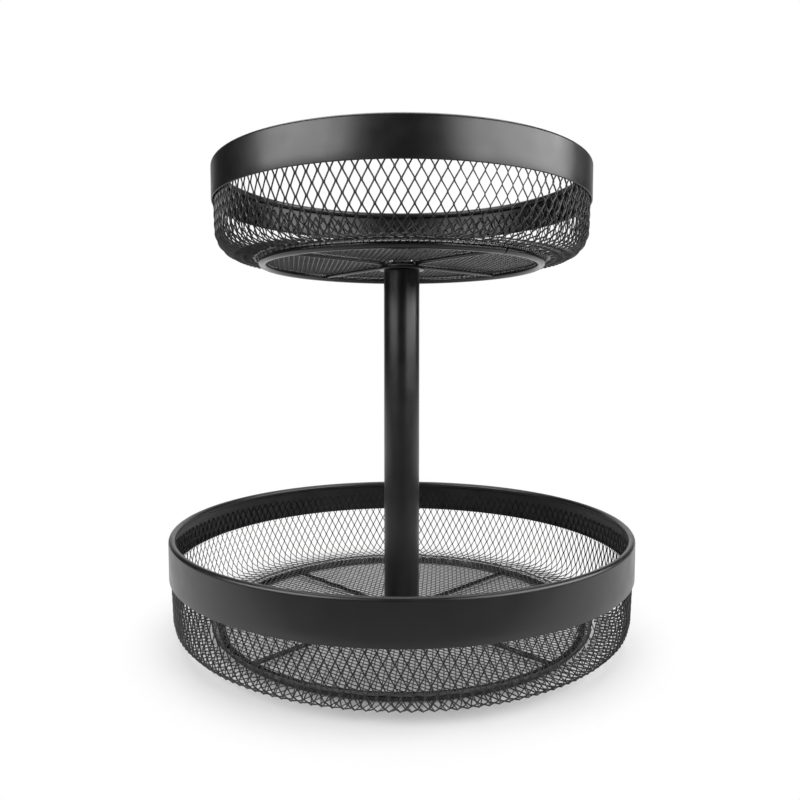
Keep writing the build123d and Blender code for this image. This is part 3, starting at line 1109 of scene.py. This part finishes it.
paper, tree = empty_material("white_paper_sweep")
place = add_node(tree, "TexCoord").outputs["Object"]
grain = add_node(tree, "TexNoise", {"Scale": 1 / (PAPER_GRAIN * MILLIMETRE)}, {"Vector": place})
grain_bump = add_node(tree, "Bump", {"Strength": 0.1, "Distance": PAPER_HEIGHT * MILLIMETRE},
                      {"Height": grain.outputs["Fac"]})
matte = add_node(tree, "BsdfDiffuse", {"Color": linear(FLOOR_COLOUR)},
                 {"Normal": grain_bump.outputs["Normal"]})
away = add_node(tree, "VectorMath", {"operation": "LENGTH"}, {"Vector": place})
far = add_node(tree, "MapRange", {"interpolation_type": "SMOOTHSTEP",
                                  "From Min": FADE_FROM * MILLIMETRE,
                                  "From Max": FADE_TO * MILLIMETRE},
               {"Value": away.outputs["Value"]})
path = add_node(tree, "LightPath").outputs
seen = add_node(tree, "Math", {"operation": "MAXIMUM"},
                {0: path["Is Camera Ray"], 1: path["Is Glossy Ray"]})
fade = add_node(tree, "Math", {"operation": "MULTIPLY"}, {0: far.outputs[0], 1: seen.outputs[0]})
white = add_node(tree, "Emission", {"Strength": 1.0})
mixed = add_node(tree, "MixShader", {},
                 {0: fade.outputs[0], 1: matte.outputs[0], 2: white.outputs[0]})
add_node(tree, "OutputMaterial", {}, {"Surface": mixed.outputs[0]})

corners = np.array([[-FLOOR_SIZE, FLOOR_FRONT], [FLOOR_SIZE, FLOOR_FRONT],
                    [FLOOR_SIZE, FLOOR_SIZE], [-FLOOR_SIZE, FLOOR_SIZE]])
corners = np.column_stack([corners, np.full(4, -FLOOR_DROP)])
sweep = mesh_object("table_sweep", corners, [np.array([[0, 1, 2, 3]])])
sweep.data.materials.append(paper)
sweep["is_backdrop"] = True
print("floor", FLOOR_COLOUR, "to", FLOOR_FRONT, "mm in front")

# %% [markdown]
# ## The world
#
# A studio is dark on the camera's side, and the front of the glossy black bands mirrors exactly
# that. Behind the stand is a white backdrop. So the world is nearly black in front and white
# behind, with a little light from below for the underside of the upper basket. The camera itself
# sees plain white all round.

# %% Dark in front, white behind
WORLD_FRONT = 0.03
WORLD_BACK = 1.0
WORLD_BELOW = 0.4
BACK_FROM = 0.7
BACK_TO = 0.95
BELOW_FROM = -0.1

world = bpy.data.worlds.new("studio")
bpy.context.scene.world = world
world.use_nodes = True
tree = world.node_tree
tree.nodes.clear()
direction = add_node(tree, "SeparateXYZ", {},
                     {"Vector": add_node(tree, "TexCoord").outputs["Generated"]})
depth = add_node(tree, "MapRange", {"interpolation_type": "SMOOTHSTEP", "From Min": BACK_FROM,
                                    "From Max": BACK_TO, "To Min": WORLD_FRONT,
                                    "To Max": WORLD_BACK}, {"Value": direction.outputs["Y"]})
below = add_node(tree, "MapRange", {"From Min": BELOW_FROM, "From Max": 0.0,
                                    "To Min": WORLD_BELOW, "To Max": 0.0},
                 {"Value": direction.outputs["Z"]})
level = add_node(tree, "Math", {"operation": "MAXIMUM"},
                 {0: depth.outputs[0], 1: below.outputs[0]})
around = add_node(tree, "Background", {"Color": (1, 1, 1, 1)}, {"Strength": level.outputs[0]})
backdrop = add_node(tree, "Background", {"Color": (1, 1, 1, 1), "Strength": 1.0})
camera_ray = add_node(tree, "LightPath").outputs["Is Camera Ray"]
mixed = add_node(tree, "MixShader", {},
                 {0: camera_ray, 1: around.outputs[0], 2: backdrop.outputs[0]})
add_node(tree, "OutputWorld", {}, {"Surface": mixed.outputs[0]})
print("world from", WORLD_FRONT, "in front to", WORLD_BACK, "behind")

# %% [markdown]
# ## The soft boxes
#
# Two tall lights on the bands give away a soft box on either side of the camera, the right one
# wider and stronger, and the top edges a third from above and behind. Area lamps are used,
# because a satin black surface shows little but the mirror image of its lamps, and an area lamp
# has a size to mirror. Their power is in watts.

# %% Three area lamps
AIM = np.array([0.0, 0.0, 170.0])


def soft_box(name, azimuth, elevation, distance, width, height, power):
    """A rectangular lamp that looks at the stand. Azimuth 0 is the camera's side, 90 the right.

    Its way from the aim is (sin azimuth cos elevation, -cos azimuth cos elevation, sin
    elevation) times its distance.
    """
    light = bpy.data.lights.new(name, "AREA")
    light.shape = "RECTANGLE"
    light.size, light.size_y = width * MILLIMETRE, height * MILLIMETRE
    light.energy = power
    lamp = bpy.data.objects.new(name, light)
    turn, rise = np.radians(azimuth), np.radians(elevation)
    away = np.array([np.sin(turn) * np.cos(rise), -np.cos(turn) * np.cos(rise), np.sin(rise)])
    lamp.location = (AIM + away * distance) * MILLIMETRE
    lamp.rotation_euler = (np.pi / 2 - rise, 0, turn)
    bpy.context.scene.collection.objects.link(lamp)
    print(name, "at", (AIM + away * distance).round(), "mm,", power, "W")


soft_box("soft_box_left", azimuth=-55, elevation=28, distance=1300, width=1200, height=700,
         power=12.8)
soft_box("soft_box_right", azimuth=67, elevation=25, distance=1300, width=1800, height=700,
         power=20)
soft_box("soft_box_top", azimuth=180, elevation=75, distance=1500, width=1600, height=1200,
         power=18)

# %% [markdown]
# ## The camera
#
# The photograph's angle was found by fitting a pinhole camera to the ellipses of the rims, the
# rings and the column. The camera stands 491 mm in front of the column, about halfway up, and
# looks down by 3.6 degrees. The picture is square, so the sensor's 36 mm are its width.

# %% The photograph's camera
CAMERA_PLACE = np.array([-1.2, -491.0, 186.8])
CAMERA_LENS = 31.18
CAMERA_DOWN = 3.64
SENSOR_WIDTH = 36.0

camera = bpy.data.objects.new("camera", bpy.data.cameras.new("camera"))
camera.location = CAMERA_PLACE * MILLIMETRE
camera.rotation_euler = (np.radians(90 - CAMERA_DOWN), 0, 0)
camera.data.sensor_width = SENSOR_WIDTH
camera.data.lens = CAMERA_LENS
bpy.context.scene.collection.objects.link(camera)
bpy.context.scene.camera = camera
bpy.context.scene.view_settings.view_transform = "Standard"
print("camera at", CAMERA_PLACE, "mm")

# %% [markdown]
# ## The visible box
#
# The box of all visible pieces, without the floor, is printed in metres.

# %% The visible box
low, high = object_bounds()
print("visible box, metres:", [round(v, 4) for v in (*low, *high)])
